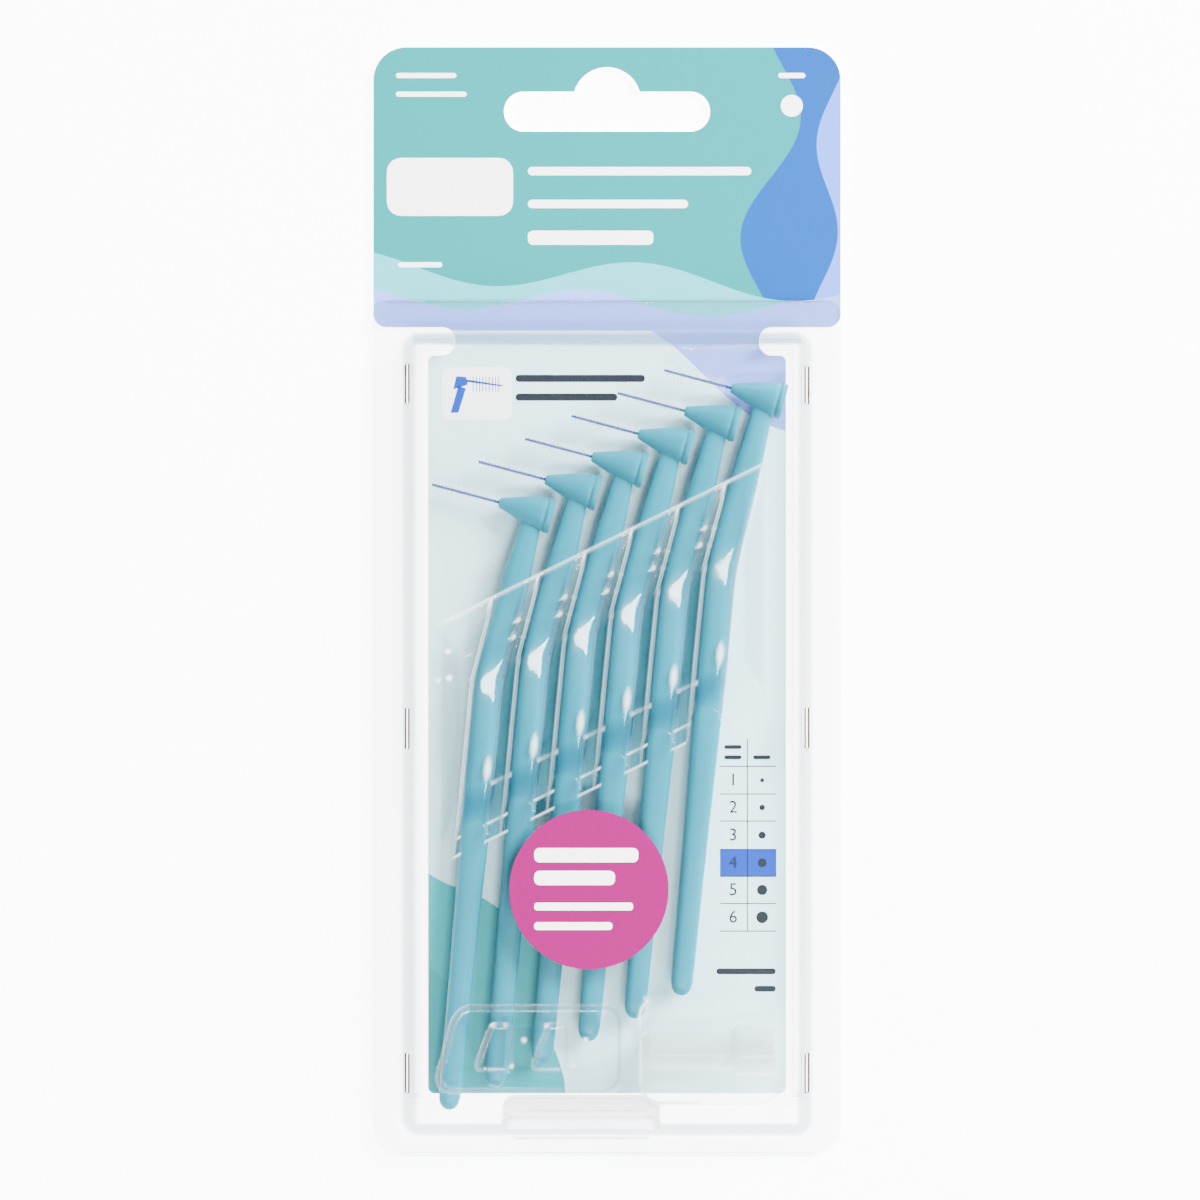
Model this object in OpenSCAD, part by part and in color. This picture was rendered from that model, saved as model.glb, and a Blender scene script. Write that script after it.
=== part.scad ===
// Interdental brush pack: six angled brushes and a travel cap between two clear
// formed halves, with a printed card that carries the hanging slot.
// The pack lies on its back: +X right, +Y towards the header, +Z out of the front.

/* [Pack] */
// Width over the header and the flanges
pack_width = 72.6; // [60:0.1:90]
// Thickness of the formed sheet
sheet = 0.35; // [0.3:0.01:0.6]
// Radius of the two lower flange corners
flange_corner = 4.4; // [2:0.1:8]
// Radius of the two upper flange corners
flange_top_corner = 2.0; // [1:0.1:6]

/* [Card] */
// Thickness of the printed card
card_thickness = 0.35; // [0.25:0.01:0.6]
// Height of the wide header
header_height = 43.5; // [30:0.1:60]
// How far the two formed halves reach over the header
header_overlap = 4.2; // [2:0.1:4.6]
// Height of the two side notches
notch_height = 4.4; // [3:0.1:8]
// Width of the card between the notches
card_neck_width = 47.2; // [30:0.1:55]
// Width of the insert inside the pack
insert_width = 55.6; // [45:0.1:57]
// Distance from the hinge edge to the foot of the insert
insert_foot = 9.7; // [5:0.1:20]
// Radius of the upper header corners
header_corner = 5.1; // [1:0.1:8]
// Radius of the small card corners
card_corner = 2.0; // [0.5:0.1:3]

/* [Hanging slot] */
// Length of the slot with its round ends
slot_length = 32.0; // [26:0.1:36]
// Height of the slot
slot_height = 6.2; // [5:0.1:8]
// Radius of the bump in the middle of its upper edge
slot_bump_radius = 5.3; // [4:0.1:6]
// Distance from the header's top to the slot's centre line
slot_drop = 10.0; // [8:0.1:16]
// How far the bump's centre lies above the slot's centre line
slot_bump_rise = 1.6; // [0:0.1:2]

/* [Front half] */
// Height of the front above the table, over the cap pocket
pack_depth = 9.35; // [8:0.05:14]
// How far the main front face lies below the cap pocket
face_drop = 0.75; // [0.3:0.05:1.5]
// Gap between the card and the front flange
flange_gap = 0.15; // [0.1:0.01:0.4]
// Width of the cavity at the flange
cavity_width = 64.0; // [56:0.1:70]
// Distance from the hinge edge to the cavity
cavity_foot = 3.1; // [2:0.1:8]
// Width of the flange above the cavity
flange_top = 4.8; // [4:0.1:10]
// Room in the cavity above the highest brush, from its head's axis
head_room = 10.4; // [8:0.1:20]
// Room in the cavity below the lowest brush
tail_room = 4.41; // [3:0.01:10]
// Radius of the cavity corners at the flange
cavity_corner = 3.0; // [2:0.1:6]
// How far the walls lean in between flange and front face
wall_lean = 2.5; // [1:0.1:2.8]

/* [Formed band] */
// Height of the band's floor above the brush axis
band_floor_rise = 0.6; // [0.3:0.05:2]
// Distance of the band's upper edge from the line of the bends
band_upper = 11.3; // [9:0.1:14]
// Distance of the band's lower edge from the line of the bends
band_lower = 20.5; // [14:0.1:24]
// Run of the sloping walls of the band
band_run = 6.2; // [2:0.1:8]
// Distance of the band's left end from the cavity's side
band_left = 6.7; // [3:0.1:10]
// Distance of the band's right end from the cavity's side
band_right = 8.2; // [3:0.1:10]
// Gap between a handle and the channel formed over it
channel_gap = 0.3; // [0.2:0.01:0.6]

/* [Brush tray] */
// Width of the shallow tray over the tails
tray_width = 28.0; // [20:0.1:32]
// Height of that tray
tray_height = 12.8; // [8:0.1:16]
// Its left edge, from the middle of the pack
tray_left = 26.1; // [20:0.1:27]
// Its upper edge, from the cavity's foot
tray_top = 20.5; // [18:0.1:24]
// How deep it is pressed in
tray_depth = 1.7; // [0.5:0.05:2]
// Corner radius of the tray
tray_corner = 3.6; // [1:0.1:5]
// Width of the two hold-down pads
pad_width = 5.9; // [4:0.1:7]
// Height of the pads
pad_height = 6.8; // [4:0.1:8]
// How deep the pads are pressed below the tray
pad_depth = 0.9; // [0.3:0.05:1.1]
// Corner radius of the pads
pad_corner = 1.2; // [0.5:0.1:2]
// Distance between the two pads
pad_pitch = 8.8; // [7:0.1:10]

/* [Foot recess] */
// Width of the stepped recess at the hinge edge
foot_width = 22.8; // [16:0.1:26]
// Its left edge, from the middle of the pack
foot_left = 15.4; // [12:0.1:16]
// Height of the recess above the cavity's foot
foot_height = 6.4; // [4:0.1:7]
// Depth of its first step below the front face
foot_step = 3.4; // [2:0.1:5]
// Width of its first step
foot_tread = 3.1; // [2:0.1:4]

/* [Cap pocket] */
// Width of the raised cap pocket
pocket_width = 22.7; // [20:0.1:26]
// Height of the pocket
pocket_height = 13.6; // [10:0.1:16]
// Left edge of the pocket, from the middle of the pack
pocket_left = 4.5; // [2:0.1:6]
// Middle line of the pocket, from the cavity's foot
pocket_middle = 12.3; // [11:0.1:16]
// Corner radius of the pocket
pocket_corner = 4.0; // [2:0.1:6]

/* [Snap ridge] */
// Width of the hollow ridge round the card
ridge_width = 1.6; // [1.4:0.05:2.2]
// Height of the ridge
ridge_height = 3.5; // [2:0.1:5]
// Outer edge of the ridge, from the middle of the pack
ridge_half = 30.5; // [29:0.05:31]
// Length of a snap lug
lug_length = 5.8; // [4:0.1:8]
// How far a lug stands out
lug_reach = 0.35; // [0.2:0.01:0.5]
// Height of a lug
lug_height = 0.4; // [0.3:0.05:0.8]
// Clearance at each end of a lug in its slit
slit_clearance = 0.3; // [0.2:0.05:0.5]
// Height of a slit
slit_height = 1.8; // [1:0.1:2.2]

/* [Hinge] */
// Radius of the hinge bead
bead_radius = 0.3; // [0.2:0.01:0.5]
// Gap between the bead and the front half
bead_gap = 0.1; // [0.05:0.01:0.2]

/* [Brush] */
// Distance between brushes across the pack
pitch_across = 7.18; // [6.8:0.01:8]
// Distance between brushes along the pack
pitch_along = 3.54; // [3:0.01:4.5]
// Length of a handle from the head's axis to its end
handle_length = 93.7; // [85:0.1:100]
// Length of the neck above the bend
neck_length = 27.1; // [20:0.1:35]
// Lean of the neck, in degrees
neck_lean = 14.9; // [10:0.1:20]
// Lean of the grip below the bend, in degrees
grip_lean = 5.4; // [2:0.1:9]
// Greatest width of a handle
handle_width = 4.7; // [4:0.05:5]
// Greatest thickness of a handle
handle_thickness = 3.8; // [3:0.05:4]
// Where the first head's axis meets its neck, left of the middle
head_left = 11.3; // [10:0.1:13]
// Gap between the head's rim and the card
head_gap = 0.15; // [0.1:0.01:0.4]

/* [Brush head] */
// Length of the head from nose to back
head_length = 8.5; // [7:0.1:10]
// Diameter of the disc at the back
head_diameter = 5.6; // [5:0.05:6]
// Distance from the nose to the neck
nose_reach = 5.6; // [4:0.1:6.5]

/* [Wire and bristles] */
// Diameter of the twisted wire
wire_diameter = 0.46; // [0.3:0.01:0.6]
// Length of wire in front of the nose
wire_reach = 10.7; // [8:0.1:14]
// Length of wire set into the head
wire_set = 4.5; // [3:0.1:6]
// Radial gap of the wire in its hole
wire_gap = 0.01; // [0.005:0.005:0.02]
// Diameter over the bristles
bristle_diameter = 3.0; // [2:0.1:4]
// Length of wire that carries bristles
bristle_length = 9.4; // [7:0.1:11]
// Bare wire at the tip
bristle_tip = 0.4; // [0.2:0.1:1]
// Width of one strand
strand_width = 0.11; // [0.06:0.01:0.15]
// Wall of the sleeve that the strands grow from
sleeve_wall = 0.1; // [0.08:0.01:0.15]
// Number of strands on each brush
strands = 52; // [50:1:80]

/* [Cap] */
// Length of the cap
cap_length = 20.7; // [18:0.1:24]
// Outer diameter of its tube
cap_tube = 5.9; // [5:0.1:6.5]
// Outer diameter of its collar
cap_collar = 7.8; // [7:0.1:8]
// Length of the collar
collar_length = 5.9; // [4:0.1:8]
// Wall of the cap
cap_wall = 0.5; // [0.4:0.05:0.8]
// Closed end of the cap, right of the middle
cap_left = 5.2; // [5:0.1:7]
// Axis of the cap, from the cavity's foot
cap_up = 13.6; // [12:0.1:16]

/* [Label] */
// Diameter of the round label
label_diameter = 24.5; // [18:0.1:26]
// Thickness of the label
label_thickness = 0.1; // [0.05:0.01:0.2]
// Centre of the label, left of the middle
label_left = 2.8; // [0:0.1:6]
// Centre of the label, from the cavity's foot
label_up = 38.7; // [36:0.1:42]

/* [Hidden] */

// Every cut runs this far past the face that it opens.
over = pack_depth / 5;
curve = 64;

// The pack is as long as its brushes need, one above the next.
neck_run = neck_length * cos(neck_lean);
grip_run = (handle_length - neck_length) * cos(grip_lean);
cavity_length = tail_room + grip_run + neck_run + 5 * pitch_along + head_room;
shell_length = cavity_foot + cavity_length + flange_top;
pack_length = shell_length + header_height - header_overlap;

foot_y = -pack_length / 2;
top_y = pack_length / 2;
shell_top_y = foot_y + shell_length;
card_z = sheet;
flange_z = card_z + card_thickness + flange_gap;
face_z = pack_depth - face_drop;
cavity_foot_y = foot_y + cavity_foot;
cavity_top_y = cavity_foot_y + cavity_length;
lean_rate = wall_lean / (face_z - flange_z);
wall_inset = sheet * sqrt(1 + lean_rate * lean_rate);

// Bend of the first brush; the others follow on the slope of the band.
bend_x = -head_left - neck_length * sin(neck_lean);
bend_y = cavity_foot_y + tail_room + grip_run;
head_y = bend_y + neck_run;
band_angle = atan2(pitch_along, pitch_across);

axis_z = card_z + card_thickness + head_gap + head_diameter / 2;
channel_radius = handle_width / 2 + channel_gap + sheet;
band_floor_z = axis_z + band_floor_rise + sheet;

bead_y = foot_y + bead_radius;
bead_z = card_z + card_thickness - sheet / 4;

cap_z = card_z + card_thickness + head_gap + cap_collar / 2;

clear_blue = [0.86, 0.95, 0.98, 0.35];
card_white = [0.90, 0.96, 0.98];
cyan = [0.04, 0.72, 0.88];
steel = [0.45, 0.52, 0.66];
nylon = [0.92, 0.95, 0.97];
clear_white = [0.90, 0.94, 0.96, 0.45];
magenta = [1.0, 0.10, 0.55];

// Handle rings as shares: along its length, half width, half thickness.
ring_shares = [
  [0.000, 0.62, 0.50], [0.032, 0.70, 0.64], [0.070, 0.80, 0.84], [0.107, 0.89, 0.94],
  [0.180, 0.96, 1.00], [0.262, 1.00, 1.00], [0.289, 1.00, 1.00], [0.316, 1.00, 1.00],
  [0.480, 1.00, 1.00], [0.660, 0.87, 0.94],
  [0.800, 0.78, 0.87], [0.930, 0.74, 0.82], [0.978, 0.71, 0.80], [0.989, 0.62, 0.72],
  [0.9965, 0.44, 0.54], [1.000, 0.18, 0.26]];
bend_share = 0.025;
// One quarter of the handle's section, as shares of half width and half thickness.
section_shares = [[1.00, 0.34], [0.86, 0.72], [0.46, 1.00]];

// Rounded end of the cap, as shares of the tube's radius: out, then along.
dome_shares = [[0, 0], [0.62, 0], [1.00, 0.48]];

// Head profile as shares of its length and radius, from the nose back.
head_shares = [[0, 0], [0, 0.27], [0.440, 0.71], [0.740, 0.93], [0.862, 0.90],
  [0.905, 1.00], [1.000, 0.97], [1.000, 0]];

// Rectangle with round corners, from its centre.
module round_rect(w, h, r) {
  square([w - 2 * r, h], center = true);
  square([w, h - 2 * r], center = true);
  for (x = [-1, 1], y = [-1, 1])
    translate([x * (w / 2 - r), y * (h / 2 - r)])
      circle(r = r, $fn = curve);
}

module flange_shape(foot) {
  half = (shell_top_y - foot) / 2;
  middle = (shell_top_y + foot) / 2;
  translate([0, middle - half / 2])
    round_rect(pack_width, half, flange_corner);
  translate([0, middle])
    round_rect(pack_width, half, flange_top_corner);
  translate([0, middle + half / 2])
    round_rect(pack_width, half, flange_top_corner);
}

// Cards and sheets

module header_shape() {
  middle = top_y - header_height / 2;
  translate([0, middle + header_height / 8])
    round_rect(pack_width, header_height * 3 / 4, header_corner);
  translate([0, middle - header_height / 8])
    round_rect(pack_width, header_height * 3 / 4, card_corner);
}

module euro_slot() {
  slot_y = top_y - slot_drop;
  translate([0, slot_y])
    round_rect(slot_length, slot_height, slot_height / 2 - slot_height / 100);
  // Only the upper half of the bump shows; the lower edge of the slot is straight.
  translate([0, slot_y])
    intersection() {
      translate([0, slot_bump_rise])
        circle(r = slot_bump_radius, $fn = curve);
      translate([0, slot_bump_radius * 2])
        square(4 * slot_bump_radius, center = true);
    }
}

module insert_shape() {
  insert_top = top_y - header_height - notch_height;
  insert_low = foot_y + insert_foot;
  translate([0, (insert_top + insert_low) / 2])
    round_rect(insert_width, insert_top - insert_low, card_corner / 2);
}

module backing_card() {
  neck_y = top_y - header_height - notch_height / 2;
  color(card_white)
    translate([0, 0, card_z])
      linear_extrude(card_thickness)
        difference() {
          union() {
            header_shape();
            translate([0, neck_y])
              square([card_neck_width + 2 * card_corner, notch_height + 2 * card_corner],
                center = true);
            insert_shape();
          }
          euro_slot();
          for (x = [-1, 1])
            translate([x * (card_neck_width / 2 + insert_width / 2), neck_y])
              round_rect(insert_width, notch_height, notch_height / 2 - sheet / 2);
        }
}

// Outline of the ridge, grown inwards by e: two upright legs with a foot at the top
module ridge_shape(e) {
  width = ridge_width - 2 * e;
  leg_top = cavity_top_y - wall_lean / 2 - sheet / 2 - e;
  leg_low = cavity_foot_y + cavity_foot + 2 * ridge_width + e;
  toe = card_neck_width / 2 + sheet + e;
  for (side = [-1, 1]) {
    translate([side * (ridge_half - ridge_width / 2), (leg_top + leg_low) / 2])
      square([width, leg_top - leg_low], center = true);
    translate([side * (ridge_half - e + toe) / 2, leg_top - width / 2])
      square([ridge_half - e - toe, width], center = true);
  }
}

lug_shares = [0.081, 0.507, 0.932];

module back_shell() {
  color(clear_blue)
    difference() {
      union() {
        linear_extrude(sheet)
          flange_shape(foot_y);
        linear_extrude(ridge_height)
          ridge_shape(0);
        for (side = [-1, 1], share = lug_shares)
          translate([side * ridge_half, cavity_foot_y + cavity_length * share,
              ridge_height - lug_height * 3 / 4])
            cube([2 * lug_reach, lug_length, lug_height], center = true);
        translate([0, bead_y, bead_z])
          rotate([0, 90, 0])
            cylinder(r = bead_radius, h = pack_width - 2 * flange_corner,
              center = true, $fn = curve);
      }
      translate([0, 0, -over])
        linear_extrude(ridge_height - sheet + over)
          ridge_shape(sheet);
    }
}

// Front half, made as an outer form less an inner form that is one sheet smaller.
// e is zero for the outer form and one sheet for the inner form.

// Long bar whose two sides lean in like the cavity walls, by its half width at the flange
module leaning_bar(half) {
  low = flange_z - over;
  high = pack_depth + over;
  foot = half + lean_rate * over;
  top = half - lean_rate * (high - flange_z);
  rotate([90, 0, 0])
    translate([0, 0, -cavity_length])
      linear_extrude(2 * cavity_length)
        polygon([[-foot, low], [foot, low], [top, high], [-top, high]]);
}

module cavity_block(e) {
  inset = e > 0 ? wall_inset : 0;
  low = e > 0 ? flange_z - over : flange_z;
  high = face_z - e;
  half_width = cavity_width / 2 - inset;
  half_length = cavity_length / 2 - inset;
  spread = lean_rate * over;
  translate([0, cavity_foot_y + cavity_length / 2, 0])
    intersection() {
      translate([0, 0, low])
        linear_extrude(high - low)
          round_rect(2 * (half_width + spread), 2 * (half_length + spread), cavity_corner);
      leaning_bar(half_width);
      rotate([0, 0, 90])
        leaning_bar(half_length);
    }
}

module pocket_block(e) {
  translate([pocket_left + pocket_width / 2, cavity_foot_y + pocket_middle, flange_z])
    linear_extrude(pack_depth - flange_z - e)
      round_rect(pocket_width - 2 * e, pocket_height - 2 * e, pocket_corner - e);
}

// The band is pressed in across the pack, with sloping walls.
module band_cut(e) {
  floor_z = band_floor_z - e;
  brim_z = face_z - e;
  rate = band_run / (face_z - band_floor_z);
  rise = brim_z + over;
  side = e / 3;
  upper = band_upper + side;
  lower = band_lower + side;
  length = pack_width * 2;
  intersection() {
    translate([bend_x, bend_y, 0])
      rotate([0, 0, band_angle])
        rotate([90, 0, 90])
          translate([0, 0, -length / 2])
            linear_extrude(length)
              polygon([[-lower, rise], [-lower, brim_z], [band_run - lower, floor_z],
                [upper - band_run, floor_z], [upper, brim_z], [upper, rise]]);
    translate([band_left - cavity_width / 2 - e, foot_y, 0])
      cube([cavity_width - band_left - band_right + 2 * e, pack_length, pack_depth + over]);
  }
}

// Channel over one handle, as far as the band reaches
module channel(e) {
  r = channel_radius - e;
  start = neck_length / 4;
  // Both runs go a little past the bend, so that no notch is left on its outside.
  past = channel_radius / 8;
  translate([-head_left, head_y, axis_z])
    rotate([0, 0, -neck_lean]) {
      translate([0, -start, 0])
        rotate([90, 0, 0])
          cylinder(r = r, h = neck_length - start + past, $fn = 12);
      translate([0, -neck_length, 0])
        rotate([0, 0, neck_lean - grip_lean])
          translate([0, past, 0])
            rotate([90, 0, 0])
              cylinder(r = r, h = neck_length + past, $fn = 12);
    }
}

module tray_cut(e) {
  middle_y = cavity_foot_y + tray_top - tray_height / 2;
  translate([tray_width / 2 - tray_left, middle_y, face_z - tray_depth - e])
    linear_extrude(pack_depth)
      round_rect(tray_width + 2 * e, tray_height + 2 * e, tray_corner + e);
  for (i = [0, 1])
    translate([tray_width / 2 - tray_left - pad_corner + pad_pitch * (i - 0.5),
        middle_y, face_z - tray_depth - pad_depth - e])
      rotate([0, 0, -grip_lean])
        linear_extrude(pack_depth)
          round_rect(pad_width + 2 * e, pad_height + 2 * e, pad_corner + e);
}

module foot_cut(e) {
  top = cavity_foot_y + foot_height + e;
  tread = top - foot_tread;
  reach = foot_height + over;
  middle = foot_width / 2 - foot_left;
  translate([middle, top - reach / 2, face_z - foot_step - e])
    linear_extrude(pack_depth)
      round_rect(foot_width + 2 * e, reach, pad_corner + e);
  translate([middle, tread - reach / 2, face_z - foot_step - foot_tread / 2 - e])
    linear_extrude(pack_depth)
      round_rect(foot_width + 2 * e, reach, pad_corner + e);
}

module front_form(e) {
  difference() {
    cavity_block(e);
    band_cut(e);
    tray_cut(e);
    foot_cut(e);
  }
  for (i = [0:5])
    translate([i * pitch_across, i * pitch_along, 0])
      channel(e);
  pocket_block(e);
}

module front_shell() {
  slit_z = ridge_height - lug_height * 3 / 4 - lug_height;
  color(clear_blue)
    difference() {
      union() {
        translate([0, 0, flange_z])
          linear_extrude(sheet)
            flange_shape(bead_y + bead_gap);
        front_form(0);
      }
      front_form(sheet);
      for (side = [-1, 1], share = lug_shares)
        translate([side * cavity_width / 2, cavity_foot_y + cavity_length * share,
            slit_z + slit_height / 2])
          cube([2 * wall_lean, lug_length + 2 * slit_clearance, slit_height], center = true);
      translate([0, bead_y, bead_z])
        rotate([0, 90, 0])
          cylinder(r = bead_radius + bead_gap, h = 2 * pack_width, center = true,
            $fn = curve);
    }
}

module round_label() {
  color(magenta)
    translate([-label_left, cavity_foot_y + label_up, face_z])
      cylinder(d = label_diameter, h = label_thickness, $fn = 96);
}

// Travel cap, a turned form along X with its closed end on the left
module cap_profile(e) {
  tube = cap_tube / 2 - e;
  collar = cap_collar / 2 - e;
  step = cap_length - collar_length + e;
  mouth = e > 0 ? cap_length + over : cap_length;
  polygon([for (p = dome_shares) [p[0] * tube, e + p[1] * tube],
    [tube, step - (collar - tube)], [collar, step], [collar, mouth], [0, mouth]]);
}

module protective_cap() {
  color(clear_white)
    translate([cap_left, cavity_foot_y + cap_up, cap_z])
      rotate([90, 0, 90])
        rotate_extrude($fn = curve)
          difference() {
            cap_profile(0);
            cap_profile(cap_wall);
          }
}

// Brush, drawn with its head's axis through the origin and the neck straight down

// Centre line below the head: the neck, a short bend, then the grip
function line_at(d) = d <= neck_length ? [0, -d]
  : [-(d - neck_length) * sin(grip_lean - neck_lean),
     -neck_length - (d - neck_length) * cos(grip_lean - neck_lean)];

function lean_at(d) =
  let (t = max(0, min(1, (d - neck_length) / (2 * bend_share * handle_length) + 0.5)))
    (grip_lean - neck_lean) * t;

function ring(d, w, t) = let (c = line_at(d), a = lean_at(d))
  [for (q = [0:3], k = [0:2])
    let (j = q % 2 == 0 ? k : 2 - k,
         sx = q == 0 || q == 3 ? 1 : -1,
         sz = q < 2 ? 1 : -1,
         x = sx * w * section_shares[j][0],
         z = sz * t * section_shares[j][1])
      [c[0] + x * cos(a), c[1] - x * sin(a), z]];

module handle_bar() {
  n = 4 * len(section_shares);
  last = len(ring_shares) - 1;
  points = [for (r = ring_shares) each ring(r[0] * handle_length,
    r[1] * handle_width / 2, r[2] * handle_thickness / 2)];
  sides = [for (i = [0:last - 1], k = [0:n - 1])
    each [[i * n + k, (i + 1) * n + (k + 1) % n, i * n + (k + 1) % n],
          [i * n + k, (i + 1) * n + k, (i + 1) * n + (k + 1) % n]]];
  polyhedron(points = points, faces = concat(sides,
    [[for (k = [0:n - 1]) k]],
    [[for (k = [0:n - 1]) last * n + n - 1 - k]]));
}

module head_form() {
  translate([-nose_reach, 0, 0])
    rotate([90, 0, 90])
      rotate_extrude($fn = curve)
        polygon([for (p = head_shares) [p[1] * head_diameter / 2, p[0] * head_length]]);
}

module along_head(start) {
  translate([start, 0, 0])
    rotate([0, 90, 0])
      children();
}

module handle_form() {
  difference() {
    union() {
      handle_bar();
      head_form();
    }
    along_head(-nose_reach - over)
      cylinder(r = wire_diameter / 2 + wire_gap, h = wire_set + over, $fn = 12);
  }
}

module wire_form() {
  along_head(-nose_reach - wire_reach)
    cylinder(d = wire_diameter, h = wire_reach + wire_set, $fn = 12);
}

module bristle_form() {
  hole = (wire_diameter / 2 + wire_gap) / cos(22.5);
  sleeve = hole + sleeve_wall;
  grow = bristle_length / strands;
  along_head(-nose_reach - wire_reach + bristle_tip)
    difference() {
      union() {
        cylinder(r = sleeve, h = bristle_length, $fn = 8);
        for (i = [0:strands - 1])
          translate([0, 0, (i + 0.5) * grow])
            rotate([0, 0, 22.5 + 45 * (i * 3 % 8)])
              rotate([0, 90, 0])
                cylinder(d = strand_width, h = bristle_diameter / 2, $fn = 3);
      }
      translate([0, 0, -over])
        cylinder(r = hole, h = bristle_length + 2 * over, $fn = 8);
    }
}

module brush_at(i) {
  translate([i * pitch_across - head_left, i * pitch_along + head_y, axis_z])
    rotate([0, 0, -neck_lean])
      children();
}

module brush_handle(i) {
  color(cyan)
    brush_at(i)
      handle_form();
}

module brush_wire(i) {
  color(steel)
    brush_at(i)
      wire_form();
}

module brush_bristles(i) {
  color(nylon)
    brush_at(i)
      bristle_form();
}

back_shell();
backing_card();
front_shell();
round_label();
protective_cap();
brush_handle(0);  // brush_1_handle
brush_wire(0);  // brush_1_wire
brush_bristles(0);  // brush_1_bristles
brush_handle(1);  // brush_2_handle
brush_wire(1);  // brush_2_wire
brush_bristles(1);  // brush_2_bristles
brush_handle(2);  // brush_3_handle
brush_wire(2);  // brush_3_wire
brush_bristles(2);  // brush_3_bristles
brush_handle(3);  // brush_4_handle
brush_wire(3);  // brush_4_wire
brush_bristles(3);  // brush_4_bristles
brush_handle(4);  // brush_5_handle
brush_wire(4);  // brush_5_wire
brush_bristles(4);  // brush_5_bristles
brush_handle(5);  // brush_6_handle
brush_wire(5);  // brush_6_wire
brush_bristles(5);  // brush_6_bristles
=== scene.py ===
# %% [markdown]
# # A hanging pack of angled interdental brushes
# The pack is two thermoformed clear halves round a printed card, six moulded brushes
# and a travel cap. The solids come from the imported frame, in metres, with the pack on
# its back: +X right, +Y towards the header, +Z out of the front.
# This script gives every solid its finish, and swaps the ones that need finer forms
# (the formed front sheet, handles, wires and bristles) for meshes made here.

import math
from functools import partial

import bpy
import numpy as np
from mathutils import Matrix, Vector


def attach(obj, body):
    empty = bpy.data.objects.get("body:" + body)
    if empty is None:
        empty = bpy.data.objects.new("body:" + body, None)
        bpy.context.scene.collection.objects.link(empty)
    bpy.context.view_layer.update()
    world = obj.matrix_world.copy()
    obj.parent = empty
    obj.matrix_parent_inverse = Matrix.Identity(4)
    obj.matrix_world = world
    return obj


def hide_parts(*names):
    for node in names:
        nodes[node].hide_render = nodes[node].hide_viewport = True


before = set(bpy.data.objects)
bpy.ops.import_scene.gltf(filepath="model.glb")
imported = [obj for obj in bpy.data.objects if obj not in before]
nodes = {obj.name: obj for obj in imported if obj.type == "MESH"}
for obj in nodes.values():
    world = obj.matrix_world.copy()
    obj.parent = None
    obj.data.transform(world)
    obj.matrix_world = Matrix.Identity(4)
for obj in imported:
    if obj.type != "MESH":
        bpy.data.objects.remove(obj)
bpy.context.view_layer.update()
MM = 0.001

# %% [markdown]
# ## Small helpers
# Colours are written as the sRGB hex values that the eye reads in a picture, and one
# function turns them to the linear values that shaders work in. add_node adds a shader
# node with its settings and links, and the short functions after it say the steps that
# most materials share. Textures follow object coordinates, so they move with a piece.

# %% Shader helpers
def linear(code):
    channels = [int(code[i : i + 2], 16) / 255 for i in (1, 3, 5)]
    return [c / 12.92 if c <= 0.04045 else ((c + 0.055) / 1.055) ** 2.4 for c in channels] + [1.0]


def add_node(tree, kind, links=None, **settings):
    """Adds a node. settings are its properties; links maps an input to a socket or a value."""
    node = tree.nodes.new(kind)
    for name, value in settings.items():
        setattr(node, name, value)
    for name, value in (links or {}).items():
        if isinstance(value, bpy.types.NodeSocket):
            tree.links.new(value, node.inputs[name])
        else:
            node.inputs[name].default_value = value
    return node


def new_material(name):
    """A material, its empty node tree and the object coordinates."""
    material = bpy.data.materials.new(name)
    material.use_nodes = True
    tree = material.node_tree
    tree.nodes.clear()
    return material, tree, add_node(tree, "ShaderNodeTexCoord").outputs["Object"]


def finish_material(tree, shader):
    add_node(tree, "ShaderNodeOutputMaterial", {"Surface": shader})


def noise(tree, place, scale, detail=2.0):
    inputs = {"Vector": place, "Scale": scale, "Detail": detail}
    return add_node(tree, "ShaderNodeTexNoise", inputs).outputs["Fac"]


def spread(tree, value, low, high):
    """Stretches a value of 0 to 1 over low to high."""
    inputs = {"Value": value, "To Min": low, "To Max": high}
    return add_node(tree, "ShaderNodeMapRange", inputs).outputs[0]


def math_node(tree, operation, *values, **settings):
    inputs = dict(enumerate(values))
    return add_node(tree, "ShaderNodeMath", inputs, operation=operation, **settings).outputs[0]


def bumped(tree, height, strength, distance):
    inputs = {"Height": height, "Strength": strength, "Distance": distance}
    return add_node(tree, "ShaderNodeBump", inputs).outputs[0]


def mix_colours(tree, share, first, second):
    """Mixes two colours, each a socket or a hex value."""
    first, second = (linear(c) if isinstance(c, str) else c for c in (first, second))
    inputs = {"Factor": share, 6: first, 7: second}
    return add_node(tree, "ShaderNodeMix", inputs, data_type="RGBA").outputs[2]


def mix_shaders(tree, share, first, second):
    return add_node(tree, "ShaderNodeMixShader", {"Fac": share, 1: first, 2: second}).outputs[0]


def principled(tree, colour, roughness, **inputs):
    """The everyday shader. inputs name its other sockets, with _ for a space."""
    inputs = {name.replace("_", " "): value for name, value in inputs.items()}
    inputs.update({"Base Color": colour, "Roughness": roughness})
    return add_node(tree, "ShaderNodeBsdfPrincipled", inputs).outputs[0]


print("shader helpers ready")

# %% [markdown]
# A mesh piece is made from arrays in millimetres and rides on its body by name. dress
# gives a CAD solid its finish and leaves the solid where it is.

# %% Piece helpers
def mesh_piece(name, points_mm, faces, material, body, smooth=True):
    mesh = bpy.data.meshes.new(name)
    mesh.from_pydata([tuple(float(c) * MM for c in p) for p in points_mm], [], faces)
    mesh.validate()
    if smooth:
        mesh.shade_smooth()
    else:
        mesh.shade_flat()
    piece = bpy.data.objects.new(name, mesh)
    bpy.context.scene.collection.objects.link(piece)
    mesh.materials.append(material)
    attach(piece, body)
    return piece


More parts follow.
